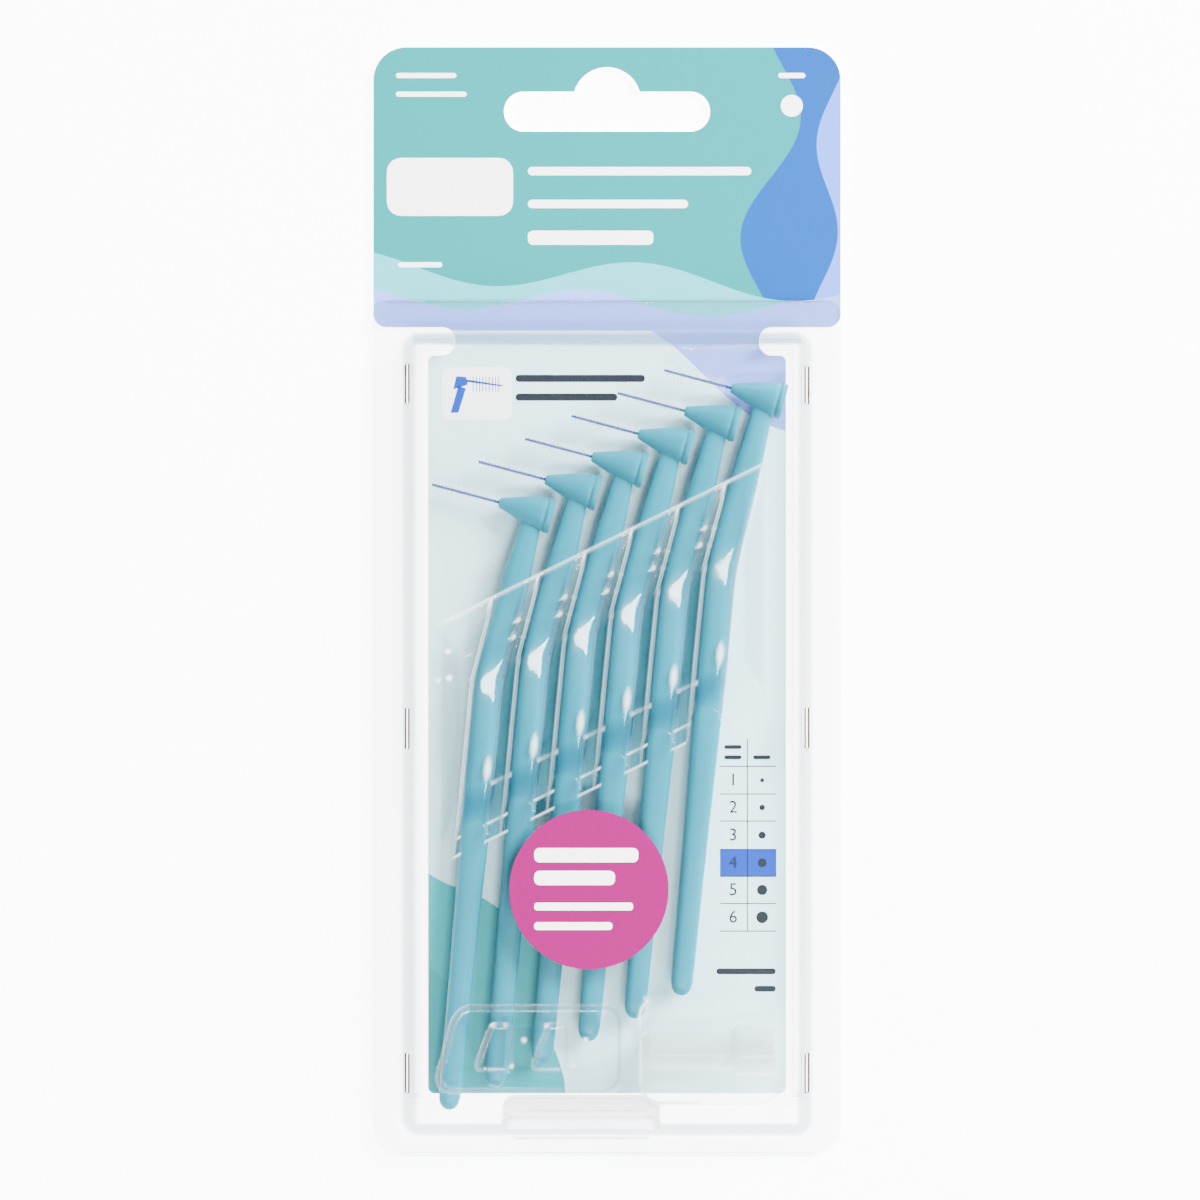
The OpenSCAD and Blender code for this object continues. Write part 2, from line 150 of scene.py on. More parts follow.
def dress(node_name, material):
    piece = nodes[node_name]
    if not piece.material_slots:
        piece.data.materials.append(material)
    for slot in piece.material_slots:
        slot.material = material


def joined(parts):
    """One list of points and one of faces from several (points, faces) pairs."""
    points, faces = [], []
    for some_points, some_faces in parts:
        faces += [[i + len(points) for i in face] for face in some_faces]
        points += [tuple(p) for p in some_points]
    return np.array(points), faces


print("piece helpers ready")

# %% [markdown]
# ## Camera
# The photograph is square on to the pack. The hanging slot is 32 mm long and 206 px
# wide, so the 1200 px frame is 186.4 mm across at the card. A 150 mm lens on a 36 mm
# sensor sees that from 777 mm away, which keeps the sides of the deep cavity slim.

# %% Camera
CARD_TOP = 0.70
FRAME_MM, LENS, SENSOR = 186.4, 150, 36
camera_data = bpy.data.cameras.new("camera")
camera_data.lens, camera_data.sensor_width = LENS, SENSOR
camera_data.clip_start, camera_data.clip_end = 0.01, 10
camera = bpy.data.objects.new("camera", camera_data)
camera.location = (-1.09 * MM, 0.23 * MM, (CARD_TOP + FRAME_MM * LENS / SENSOR) * MM)
bpy.context.scene.collection.objects.link(camera)
bpy.context.scene.camera = camera
print("camera height:", round(camera.location.z, 4), "m")

# %% [markdown]
# ## The plan of the pack
# Sizes that several pieces share, in millimetres. They repeat the part's own values, so
# what is made here sits exactly where the solids are. HEAD_AT is the place of the first
# brush's head and PITCH the step to the next. Boxes are left, right, low, high.

# %% Plan sizes
SHEET = 0.35
FLANGE_TOP, FACE, POCKET_FACE = 1.20, 8.60, 9.35
EDGE, FOOT_EDGE, TOP_EDGE = 36.3, -85.7, 46.8
CAVITY = (-32, 32, -83, 42)
LEAN_RATE = 2.5 / (FACE - 0.85)
SLIT_AT, SLIT_HALF = 31.1, 3.1
SLIT_ROWS = [CAVITY[2] + 125 * share for share in (0.081, 0.507, 0.932)]
BRUSHES, AXIS_Z = 6, 3.65
HEAD_AT = np.array([-11.3, 13.9])
PITCH = np.array([7.18, 3.54])
NECK, GRIP = 27.1, 66.6
NECK_LEAN, GRIP_LEAN = math.radians(14.9), math.radians(5.4)
DOWN_NECK = np.array([-math.sin(NECK_LEAN), -math.cos(NECK_LEAN)])
DOWN_GRIP = np.array([-math.sin(GRIP_LEAN), -math.cos(GRIP_LEAN)])
heads = [HEAD_AT + i * PITCH for i in range(BRUSHES)]
bends = [head + NECK * DOWN_NECK for head in heads]
print("plan sizes set")

# %% [markdown]
# ## Clear PET sheet
# Blister packs are drawn from PET about 0.35 mm thick. So thin a wall bends light very
# little: the eye sees straight through it, and sees the room mirrored on it, more so
# where the wall turns edge on. So a share that grows with the fifth power towards edge
# on mixes a clear layer with a mirror layer, and a low wide bump gives the slight
# waviness that vacuum forming leaves. Real glass with refraction would look alike here,
# but it shuts out lamps and makes the inside dark and noisy.
# A milky cloud joins the clear layer where the sheet is seen edge on, and where a point
# attribute holds painted highlights, with a little whitening at sharp folds. Two more
# attributes tint it with painted shade: a teal one for the handles' coloured shadow in
# the gaps beside them, and a dull grey one for the dark reflections in the ribbed recess.

# %% Clear PET
def mirror_share(tree, normal, straight_on=0.03):
    """Share of light that a clear plastic mirrors, the same from either side of the sheet."""
    facing = add_node(tree, "ShaderNodeLayerWeight", {"Blend": 0.5, "Normal": normal}).outputs["Facing"]
    steep = math_node(tree, "POWER", facing, 5.0)
    return math_node(tree, "MULTIPLY_ADD", steep, 1.0 - straight_on, straight_on)


def cloudy(tree, code, passing):
    """Milky plastic: light scattered back, and a share of it scattered onwards."""
    back = add_node(tree, "ShaderNodeBsdfDiffuse", {"Color": linear(code)}).outputs[0]
    onwards = add_node(tree, "ShaderNodeBsdfTranslucent", {"Color": linear(code)}).outputs[0]
    return mix_shaders(tree, passing, back, onwards)


def mirror(tree, roughness, normal):
    inputs = {"Roughness": roughness, "Normal": normal}
    return add_node(tree, "ShaderNodeBsdfAnisotropic", inputs).outputs[0]


def attribute(tree, name):
    return add_node(tree, "ShaderNodeAttribute", attribute_name=name).outputs["Fac"]


def clear_pet(name, edge_tint, edge_haze):
    material, tree, place = new_material(name)
    bump = bumped(tree, noise(tree, place, 90.0, 1.0), 0.06, 0.0004)
    gloss = spread(tree, noise(tree, place, 260.0, 4.0), 0.04, 0.12)
    facing = add_node(tree, "ShaderNodeLayerWeight", {"Blend": 0.5}).outputs["Facing"]
    tint = mix_colours(tree, math_node(tree, "POWER", facing, 1.7), "#FFFFFF", edge_tint)
    # painted teal shade in the gaps beside the handles, for their coloured shadow
    tint = mix_colours(tree, attribute(tree, "painted_teal_shade"), tint, "#9AD6DE")
    # painted grey shade over the ribbed foot recess, for its dark reflections
    tint = mix_colours(tree, attribute(tree, "painted_recess_shade"), tint, "#D6D2D6")
    clear = add_node(tree, "ShaderNodeBsdfTransparent", {"Color": tint}).outputs[0]
    edge_on = math_node(tree, "POWER", facing, 3.0)
    # the point attribute adds painted highlights, and a little fold whitening, to the milky cloud
    haze = math_node(tree, "MULTIPLY_ADD", edge_on, edge_haze, attribute(tree, "painted_highlight_with_fold_whitening"))
    through = mix_shaders(tree, haze, clear, cloudy(tree, "#F4FBFD", 0.5))
    glossy = mix_shaders(tree, 0.25, mirror(tree, gloss, bump), mirror(tree, 0.32, bump))
    finish_material(tree, mix_shaders(tree, mirror_share(tree, bump), through, glossy))
    return material


pet_front = clear_pet("thermoformed clear PET", "#A9BAC4", 0.14)
print("material:", pet_front.name)

# %% [markdown]
# ## The formed front half
# Vacuum forming pulls one warm sheet over a mould, so the whole half is one surface with
# a single height over each point of the plan, and every edge is rounded. That is why a
# height field suits it: a function gives the height, soft minimum and maximum functions
# join its forms with small fillets, and the grid is finer where walls are steep.
# The forms are the flange, the leaning cavity walls, the slanting band with a channel
# over each handle, the tray and pads over the tails, the stepped foot and the cap pocket.

# %% Soft joins
def soft_max(a, b, k):
    h = np.clip(0.5 + 0.5 * (a - b) / k, 0, 1)
    return b + (a - b) * h + k * h * (1 - h)


def soft_min(a, b, k):
    return -soft_max(-a, -b, k)


def inside_rounded(x, y, box, r):
    """Distance in from the edge of a rounded rectangle, negative outside it."""
    x0, x1, y0, y1 = box
    qx = np.abs(x - (x0 + x1) / 2) - (x1 - x0) / 2 + r
    qy = np.abs(y - (y0 + y1) / 2) - (y1 - y0) / 2 + r
    outside = np.hypot(np.maximum(qx, 0), np.maximum(qy, 0))
    return r - outside - np.minimum(np.maximum(qx, qy), 0)


def from_line(x, y, start, end):
    """Distance from each point to the stretch between two plan points."""
    run = end - start
    t = ((x - start[0]) * run[0] + (y - start[1]) * run[1]) / (run @ run)
    t = np.clip(t, 0, 1)
    return np.hypot(x - start[0] - t * run[0], y - start[1] - t * run[1])


print("soft joins ready")

# %% [markdown]
# The band crosses the pack at the slant of the brushes, and lengths across it are
# measured from its upper edge's own line. A channel leaves the face at the top, dips
# past each bend with a straight step, and comes back to the face below. Each small form
# is one box with its wall slope, so that soft joins can take it in.

# %% Height of the front sheet
BAND_ANGLE = math.atan2(PITCH[1], PITCH[0])
BAND_FLOOR, BAND_EDGE, BAND_RUN = 4.60, 8.3, 6.2
BAND_LOW, BAND_FOOT = -17.3, -24.8
CHANNEL_R, CHANNEL_RISE, CHANNEL_SHIFT = 2.62, 3.0, 0.25
CROWN = 4.5
PIPS = ((5.25, 9.4), (4.5, 6.8))
TRAY, PAD_RIGHTS, PAD_WIDE = (-26.1, 1.9, -75.3, -62.5), (-14.9, -6.2), 5.9
RECESS = (-15.4, 7.4, -95, -76.7)
POCKET = (4.5, 27.2, -77.5, -63.9)
UP_GRIP = -DOWN_GRIP
UP_HANDLE = -(DOWN_NECK + DOWN_GRIP) / np.linalg.norm(DOWN_NECK + DOWN_GRIP)


def across_slant(x, y):
    return y * math.cos(BAND_ANGLE) - x * math.sin(BAND_ANGLE)


def from_bend(x, y, bend, up):
    """Lengths beside and along a direction from a bend."""
    dx, dy = x - bend[0], y - bend[1]
    return dx * up[1] - dy * up[0], dx * up[0] + dy * up[1]


def band_height(x, y):
    """The band: a sloping upper wall, a flat floor, and a lower wall with a rounded brow."""
    across = across_slant(x, y)
    rate = (FACE - BAND_FLOOR) / BAND_RUN
    upper = rate * (across - BAND_EDGE + BAND_RUN)
    down = BAND_LOW - across
    lower = soft_min(rate * down, 3.1 + 0.39 * (down - 4.8), 0.4)
    ends = 1.3 * np.maximum(x - 21.0, -22.5 - x)
    return BAND_FLOOR + soft_max(soft_max(soft_max(upper, lower, 0.3), ends, 0.6), 0 * x, 0.35)


def channel_height(x, y, i):
    """Flat-crowned channel over one handle. It leaves the face, dips past the bend and returns."""
    bend = bends[i]
    across = across_slant(x, y)
    x = x + CHANNEL_SHIFT
    away = np.minimum(from_line(x, y, heads[i] + 0.2 * NECK * DOWN_NECK, bend),
                      from_line(x, y, bend, bend + NECK * DOWN_GRIP))
    beside, along = from_bend(x, y, bend, UP_HANDLE)
    skew = np.clip(beside, -CHANNEL_R, CHANNEL_R) * np.exp(-(along / 5.0) ** 2)
    before, after = along + 0.5 * skew + 2.6, along - 0.8 * skew - 2.6
    ramp = 2.6 - 0.5 * (np.hypot(before, 0.9) - np.hypot(after, 0.9))
    crest = FACE - 0.08 * np.clip(BAND_EDGE - across, 0, 18.9) - 0.15 * ramp
    crest = crest + 0.02 * np.maximum(-11.0 - along, 0) ** 2
    share = np.clip(away / CHANNEL_R, 0, 1)
    side = np.maximum(away - CHANNEL_R, 0)
    return crest - CHANNEL_RISE * (1 - (1 - share**CROWN) ** (1 / CROWN)) - 10 * side


def sunk(x, y, box, r, depth, slope):
    """A flat sunk this deep into the face inside a box, with walls of this slope round it."""
    return FACE - depth - slope * np.minimum(inside_rounded(x, y, box, r) - 0.3, 0)


def slanted(x, left, right, width):
    """Moves x so that a box of this width gets its left edge at left."""
    return right - width * (right - x) / (right - left)


def front_height(x, y):
    wall = inside_rounded(x, y, CAVITY, 3.0)
    z = soft_max(FLANGE_TOP - 0 * x, FLANGE_TOP + (wall - 0.1) / LEAN_RATE, 0.7)
    z = soft_min(z, FACE + 0 * x, 0.9)
    z = soft_min(z, band_height(x, y), 0.2)
    for i in range(BRUSHES):
        z = soft_max(z, channel_height(x, y, i), 0.10)
    z = soft_min(z, FACE + 0 * x, 0.05)
    for bend in bends[:-1]:
        for beside, below in PIPS:
            pip = bend + np.array([beside, below])
            z = z + 1.0 * np.exp(-((x - pip[0]) ** 2 + (y - pip[1]) ** 2) / 0.60)
    squared = slanted(x, -23.2 + 0.27 * (y + 62.8), TRAY[1], TRAY[1] - TRAY[0])
    z = soft_min(z, sunk(squared, y, TRAY, 2.6, 1.7, 4.0), 0.45)
    for right in PAD_RIGHTS:
        squared = slanted(x, right - 2.9 + 0.38 * (y + 65.3), right, PAD_WIDE)
        z = soft_min(z, sunk(squared, y, (right - PAD_WIDE, right, -72.2, -65.2), 1.0, 2.6, 3.0), 0.25)
    for top, depth in ((RECESS[3], 3.4), (-79.8, 4.95)):
        z = soft_min(z, sunk(x, y, (*RECESS[:3], top), 1.2, depth, 4.0), 0.35)
    ribbed = np.clip(1.5 * inside_rounded(x, y, (-15.0, 7.0, -95, -77.2), 1.2), 0, 1)
    z = z + 0.30 * ribbed * np.sin(2 * math.pi * y / 1.55)
    z = np.maximum(z, FLANGE_TOP)
    pocket = POCKET_FACE + 3.0 * np.minimum(inside_rounded(x, y, POCKET, 4.0) - 0.35, 0)
    return np.minimum(soft_max(z, pocket, 0.4), POCKET_FACE)


print("height at the label:", round(float(front_height(np.array(-2.8), np.array(-44.3))), 2))

# %% [markdown]
# The grid follows the forms: its rows slant with the band, its columns run along the
# brushes, and both are close together where walls, channels and small forms are.

# %% Grid of the front sheet
def stretch(stops):
    """Grid lines from pairs of (end, step)."""
    lines = [stops[0][0]]
    for end, step in stops[1:]:
        n = max(1, round((end - lines[-1]) / step))
        lines += list(np.linspace(lines[-1], end, n + 1)[1:])
    return np.array(lines)


def centre_shift(t):
    """Sideways place of a handle's centre line at height t against its head."""
    down, neck_fall = np.maximum(-t, 10.0), NECK * math.cos(NECK_LEAN)
    return -(np.minimum(down, neck_fall) * math.tan(NECK_LEAN)
             + np.maximum(down - neck_fall, 0) * math.tan(GRIP_LEAN))


BESIDE, ACROSS, INNER = 32, 133, 29
SLANT = PITCH[1] / PITCH[0]
left_rim = stretch([(-EDGE, 0), (-32.6, 0.7), (-INNER, 0.3)])
right_rim = -left_rim[::-1]
along_lines = stretch([(FOOT_EDGE, 0), (-83.6, 0.7), (-76.0, 0.2), (-61.6, 0.32), (-34.0, 1.0),
                       (12.0, 0.33), (38.4, 1.0), (42.8, 0.3), (TOP_EDGE, 0.7)])
slant = np.interp(along_lines, [-61.6, -34.0, 12.0, 42.0], [0, 1, 1, 0])
follow = np.interp(along_lines, [-61.6, -46.0], [0, 1])
brush_lines = np.linspace(-0.5, 5.5, ACROSS)
rows_x, rows_y = [], []
for row, slanted_row, followed in zip(along_lines, slant, follow):
    y = np.full(ACROSS, row)
    for _ in range(8):
        x = HEAD_AT[0] + PITCH[0] * brush_lines + centre_shift(y - HEAD_AT[1] - PITCH[1] * brush_lines)
        y = row + slanted_row * SLANT * np.clip(x, -INNER, INNER)
    middle = np.concatenate([np.linspace(-INNER, x[0], BESIDE)[:-1], x,
                             np.linspace(x[-1], INNER, BESIDE)[1:]])
    middle = followed * middle + (1 - followed) * np.linspace(-INNER, INNER, len(middle))
    x = np.concatenate([left_rim[:-1], middle, right_rim[1:]])
    rows_x.append(x)
    rows_y.append(row + slanted_row * SLANT * np.clip(x, -INNER, INNER))
gx, gy = np.array(rows_x), np.array(rows_y)


def hold_to_corner(x, y, r, cx, cy):
    """Moves grid points that lie past a round flange corner onto its arc."""
    dx, dy = x - cx, y - cy
    d = np.hypot(dx, dy)
    past = (dx * cx > 0) & (dy * cy > 0) & (d > r)
    k = np.where(past, r / np.maximum(d, 1e-9), 1)
    return cx + dx * k, cy + dy * k


for side in (1, -1):
    for cx, cy, r in ((EDGE - 4.4, FOOT_EDGE + 4.4, 4.4), (EDGE - 2.0, TOP_EDGE - 2.0, 2.0)):
        gx, gy = hold_to_corner(gx, gy, r, side * cx, cy)
gz = front_height(gx, gy)
print("front grid:", gx.shape)

# %% [markdown]
# The sheet gets its thickness by moving each point 0.35 mm in along its own normal.
# Snap slits are cut by leaving out the grid cells they take, and the open edges are
# closed with a narrow strip, so that the half is one closed solid.

# %% Sheet of even thickness
def unit(vectors, least):
    """Vectors of length 1, and straight up where they are shorter than least."""
    size = np.linalg.norm(vectors, axis=-1, keepdims=True)
    return np.where(size > least, vectors / np.maximum(size, least), np.array([0, 0, 1.0]))


def sheet_mesh(x, y, z, thickness, keep):
    """Points, faces, how many of the faces close an open edge, and the grid points used."""
    rows, cols = x.shape
    top = np.stack([x, y, z], -1)
    wide = np.pad(top, ((0, 0), (1, 1), (0, 0)), "edge")
    tall = np.pad(top, ((1, 1), (0, 0), (0, 0)), "edge")
    normal = unit(np.cross(wide[:, 2:] - wide[:, :-2], tall[2:] - tall[:-2]), 1e-7)
    low = top - thickness * normal
    points = np.concatenate([top.reshape(-1, 3), low.reshape(-1, 3)])
    half = rows * cols
    index = np.arange(half).reshape(rows, cols)
    a, b = index[:-1, :-1], index[:-1, 1:]
    c, d = index[1:, 1:], index[1:, :-1]
    quads = np.stack([a, b, c, d], -1).reshape(-1, 4)
    p = points[quads][:, :, :2]
    one, other = p[:, 2] - p[:, 0], p[:, 3] - p[:, 1]
    area = 0.5 * np.abs(one[:, 0] * other[:, 1] - one[:, 1] * other[:, 0])
    quads = quads[(area > 1e-4) & keep(*p.mean(1).T)].tolist()
    edges = dict.fromkeys((q[k], q[(k + 1) % 4]) for q in quads for k in range(4))
    rims = [[b, a, a + half, b + half] for a, b in edges if (b, a) not in edges]
    faces = quads + [[i + half for i in q[::-1]] for q in quads] + rims
    used = np.unique(np.array([i for f in faces for i in f]))
    renumber = np.full(len(points), -1)
    renumber[used] = np.arange(len(used))
    return points[used], [[int(renumber[i]) for i in f] for f in faces], len(rims), used


def not_slit(x, y):
    cut = np.zeros(len(x), bool)
    for row in SLIT_ROWS:
        cut |= (np.abs(np.abs(x) - SLIT_AT) < 0.32) & (np.abs(y - row) < SLIT_HALF)
    return ~cut


points, faces, rims, used = sheet_mesh(gx, gy, gz, SHEET, not_slit)
print("front sheet:", len(points), "points,", len(faces), "faces")

# %% [markdown]
# Highlights are painted into the sheet as white lines and spots in its milky cloud, where
# the studio's reflections fall on the folds: the channels' left edges, the band's edges
# and ends, the lines across the gaps, the pips, the pads' corners, a second highlight low
# on each channel, and the pocket's rim with a faint painted glare over the pocket. A small
# share follows how sharply the sheet turns: partly painted highlight, partly the slight
# whitening that forming leaves at sharp folds. Each is a soft ridge round a line or a spot
# of the same plan as the heights.

# %% Painted highlights and fold whitening on the sheet
def fold_strength(x, y, z):
    """How sharply the sheet turns at each grid point, from 0 to 1."""
    p = np.stack([x, y, z], -1)
    n = unit(np.cross(p[1:, 1:] - p[:-1, :-1], p[1:, :-1] - p[:-1, 1:]), 1e-9)
    around = [n[:-1, :-1], n[:-1, 1:], n[1:, 1:], n[1:, :-1]]
    least = np.min([np.sum(around[a] * around[b], -1) for a in range(4) for b in range(a)], axis=0)
    turn = np.zeros(x.shape)
    turn[1:-1, 1:-1] = np.degrees(np.arccos(np.clip(least, -1, 1)))
    rise = np.zeros(x.shape)
    rise[1:-1, 1:-1] = z[1:-1, 1:-1] - (z[1:-1, 2:] + z[1:-1, :-2] + z[2:, 1:-1] + z[:-2, 1:-1]) / 4
    return np.clip((turn - 14) / 34, 0, 1) * np.where(rise > 0, 1.0, 0.35)


def beside_brushes(x, y):
    """Signed distance from the nearest brush's centre line, negative on its left."""
    away = np.full(x.shape, 99.0)
    for head, bend in zip(heads, bends):
        for start, end in ((head, bend), (bend, bend + NECK * DOWN_GRIP)):
            side = np.sign((x - start[0]) * (start - end)[1] - (y - start[1]) * (start - end)[0])
            near = side * from_line(x, y, start, end)
            away = np.where(np.abs(near) < np.abs(away), near, away)
    return away


def ridge(distance, width):
    """1 on a line, falling softly to 0 at the given distance from it."""
    return np.clip(1.6 * (1 - np.abs(distance) / width), 0, 1)


def spot(x, y, place, radius):
    return ridge(np.hypot(x - place[0], y - place[1]), radius)


off_line = beside_brushes(gx, gy)
across = across_slant(gx, gy)
past_first = gx > bends[0][0] + (gy - bends[0][1]) * 0.2
before_last = gx < bends[-1][0] + (gy - bends[-1][1]) * 0.2
in_band = (across < BAND_EDGE) & (across > BAND_FOOT) & (np.abs(off_line) < 3.6)
in_gap = in_band & past_first & before_last & (np.abs(off_line) > 2.1)
# painted highlights: a small share at sharp folds, which is also real whitening, then painted white
# lines along the channels and the band
fold_whitening_and_highlight = 0.07 * fold_strength(gx, gy, gz)
painted_left_edge_highlight = 0.9 * ridge(off_line + 2.75, 0.28) * in_band
painted_left_edge_highlight = painted_left_edge_highlight * np.interp(across, [BAND_FOOT, -13.0], [0.15, 1.0])
painted_top_edge_highlight = 0.34 * ridge(across - BAND_EDGE, 0.27) * (gx > -26.5) * (gx < 24.0)
painted_gap_line_highlights = 0.6 * np.maximum(ridge(across - BAND_LOW, 0.24), ridge(across + 22.5, 0.24)) * in_gap
painted_low_edge_highlight = 0.45 * ridge(across - BAND_FOOT, 0.24) * past_first * before_last * (np.abs(off_line) > 1.7)
# painted glint dots on the pips, the pads' corners and the band's left end
painted_glint_places = [bend + np.array([beside + side, below]) for bend in bends[:-1]
         for beside, below in PIPS for side in (-0.65, 0.65)]
painted_glint_places += [(-17.5, -65.4), (-15.7, -65.4), (-14.8, -71.6), (-9.3, -65.4), (-7.0, -65.6), (-5.2, -71.6),
          (-12.8, -67.6), (-3.3, -67.6), (-24.4, -7.7), (-26.0, -12.2), (-24.2, -11.8)]
painted_glint_dots = np.max([0.75 * spot(gx, gy, mark, 0.50) for mark in painted_glint_places], axis=0)
# painted second highlight low on each channel
painted_second_highlights = np.zeros(gx.shape)
for bend in bends:
    beside, along = from_bend(gx, gy, bend, UP_GRIP)
    painted_second_highlights = np.maximum(painted_second_highlights, 0.72 * ridge(np.hypot(beside - 1.1, 0.30 * (along + 13.4)), 0.66))
over_cap = inside_rounded(gx, gy, (4.7, 27.6, -77.4, -60.5), 3.5)
# painted glare over the cap pocket and a painted highlight along its rim
painted_pocket_glare = 0.10 * np.clip(over_cap / 0.6, 0, 1) + 0.6 * ridge(over_cap - 0.3, 0.3) * (gx < 14.0)
highlight_paint_and_whitening = np.max([fold_whitening_and_highlight, painted_left_edge_highlight, painted_top_edge_highlight, painted_gap_line_highlights, painted_low_edge_highlight, painted_glint_dots, painted_second_highlights, painted_pocket_glare],
                  axis=0)
print("whitened points:", int((highlight_paint_and_whitening > 0.1).sum()))

# %% [markdown]
# Painted shade goes with it. The gaps between the channels, and a dip over each handle
# below its bend, get a teal painted shade that stands in for the handles' coloured
# shadow, stronger lower down; the recess at the foot gets a grey painted shade in steps
# for its dark reflections. The snap slits and their near rims get a dark brown painted shade.

# %% Painted shade, slit edges and the finished sheet
# painted teal shade in the gaps, stronger lower down
painted_gap_shade = in_gap * np.clip((np.abs(off_line) - 2.0) / 0.35, 0, 1)
painted_gap_shade = painted_gap_shade * (0.35 + 0.5 * np.clip((3.0 - across) / 6.0, 0, 1))
# painted shade in the dip over each handle below its bend
painted_dip_shade = np.clip(1 - ((across + 19.0) / 2.6) ** 2, 0, 1) * (np.abs(off_line) < 2.1)
painted_gap_shade = np.maximum(painted_gap_shade, 0.5 * painted_dip_shade)
# painted grey shade over the foot recess, in steps
painted_foot_shade = np.interp(gy, [-84.0, -82.6, -80.2, -79.9, -79.2, -76.7], [0, 0.30, 0.35, 0.9, 0.7, 1.0])
painted_foot_shade = painted_foot_shade * np.clip(inside_rounded(gx, gy, RECESS, 1.2) / 0.4, 0, 1)

front_sheet = mesh_piece("formed_front_sheet", points, faces, pet_front, "front_half")
for name, values in (("painted_highlight_with_fold_whitening", highlight_paint_and_whitening), ("painted_teal_shade", painted_gap_shade), ("painted_recess_shade", painted_foot_shade)):
    values = np.tile(values.ravel(), 2)[used]
    front_sheet.data.attributes.new(name, "FLOAT", "POINT").data.foreach_set("value", values)
# dark brown painted shade on the slit edges and the faces beside them
painted_slit_shade, tree, place = new_material("PET slit edge, painted shade")
shade = mix_colours(tree, noise(tree, place, 900.0), "#4A403C", "#6E625C")
finish_material(tree, principled(tree, shade, 0.8, Specular_IOR_Level=0.0))
front_sheet.data.materials.append(painted_slit_shade)
for polygon in front_sheet.data.polygons[len(faces) - rims:]:
    if abs(polygon.center.y) < 0.083 and abs(polygon.center.x) < 0.033:
        polygon.material_index = 1
beside_slits = 0
for polygon in front_sheet.data.polygons:
    x, y, _ = polygon.center / MM
    if 30.45 < abs(x) < 30.85 and min(abs(y - row) for row in SLIT_ROWS) < SLIT_HALF:
        polygon.material_index = 1
        beside_slits += 1
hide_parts("front_shell")
print("faces beside the slits:", beside_slits)

# %% [markdown]
# ## The rear half
# The rear half is the same PET, almost flat, with a hollow ridge at each side. Its solid
# already has the right form, so it only takes the finish.

# %% Rear half
pet_back = clear_pet("thermoformed clear PET, rear half", "#9DB0BB", 0.25)
dress("back_shell", pet_back)
print("rear half dressed")

# %% [markdown]
# ## Printed card
# The card is coated carton board with flat offset colours. A print covers the board edge
# to edge, so it is done in the shader: object coordinates in millimetres feed a few sine
# waves, and comparing a point with a wave gives a crisp mask for each ink. The design is
# plain bands of sea colours. Board fibre is a very fine bump, and the coating a soft sheen.

# %% Card print
def printed_card():
    material, tree, place = new_material("coated carton board, offset printed")

    def scaled(vector, scale):
        inputs = {0: vector, "Scale": scale}
        return add_node(tree, "ShaderNodeVectorMath", inputs, operation="SCALE").outputs[0]

    def wave(along, length, phase, height, base, tilt=0.0):
        turn = math_node(tree, "MULTIPLY_ADD", along, 2 * math.pi / length, phase)
        crest = math_node(tree, "MULTIPLY_ADD", math_node(tree, "SINE", turn), height, base)
        return math_node(tree, "MULTIPLY_ADD", along, tilt, crest)

    past, short_of, both = (partial(math_node, tree, operation)
                            for operation in ("GREATER_THAN", "LESS_THAN", "MULTIPLY"))

    def ink(under, mask, over):
        return mix_colours(tree, mask, under, over)

    mm = scaled(place, 1000.0)
    x, y, z = add_node(tree, "ShaderNodeSeparateXYZ", {0: mm}).outputs
    low_wave = past(y, wave(x, 46.0, 0.9, 2.4, 50.5, -0.05))
    left_part = short_of(x, wave(y, 19.0, 1.0, 0.7, -20.0, -0.17))
    corner = past(y, wave(x, 30.0, 0.0, 1.8, 44.5, -0.62))
    insert = ink("#CAF1F6", both(corner, past(x, 4.0)), "#7F97E8")
    for line, code in ((wave(x, 21.0, 0.5, 1.2, -61.0, -0.72), "#00A8AE"),
                       (wave(x, 25.0, 2.6, 2.2, -70.0, -0.40), "#009CA2")):
        insert = ink(insert, both(short_of(y, line), left_part), code)
    header = ink("#7F97E8", past(y, wave(x, 38.0, 2.2, 1.8, 46.5, -0.03)), "#45B0BA")
    header = ink(header, low_wave, "#007C7E")
    right = ink(header, past(x, wave(y, 34.0, 0.4, 3.6, 17.5, 0.12)), "#004690")
    right = ink(right, past(x, wave(y, 29.0, 1.8, 2.0, 31.0, 0.05)), "#5C7BE0")
    header = ink(header, low_wave, right)
    face = ink(insert, past(y, 42.0), header)
    fibre = noise(tree, mm, 3.0, 5.0)
    colour = ink("#F3F1EA", past(z, CARD_TOP - 0.08), face)
    colour = scaled(colour, spread(tree, fibre, 0.975, 1.02))
    gloss, bump = spread(tree, fibre, 0.34, 0.46), bumped(tree, fibre, 0.08, 0.00005)
    finish_material(tree, principled(tree, colour, gloss, Specular_IOR_Level=0.15, Normal=bump))
    return material


card_board = printed_card()
dress("backing_card", card_board)
print("material:", card_board.name)

# %% [markdown]
# ## Fine print
# Rules, bars and the small table are too fine for wave masks, so each ink is one thin
# mesh of flat shapes that lies on the board, 0.02 mm proud like a heavy print. Where
# the pack has words, the print here is plain bars, and the table has plain numbers.

# %% Ink shapes
def bar(x0, x1, y0, y1, r=0.0, steps=5):
    """Outline of a bar with round corners, anticlockwise."""
    r = min(r, (x1 - x0) / 2, (y1 - y0) / 2)
    if r <= 0:
        return [(x0, y0), (x1, y0), (x1, y1), (x0, y1)]
    outline = []
    for cx, cy, start in ((x1 - r, y0 + r, -90), (x1 - r, y1 - r, 0), (x0 + r, y1 - r, 90),
                          (x0 + r, y0 + r, 180)):
        for k in range(steps + 1):
            a = math.radians(start + 90 * k / steps)
            outline.append((cx + r * math.cos(a), cy + r * math.sin(a)))
    return outline


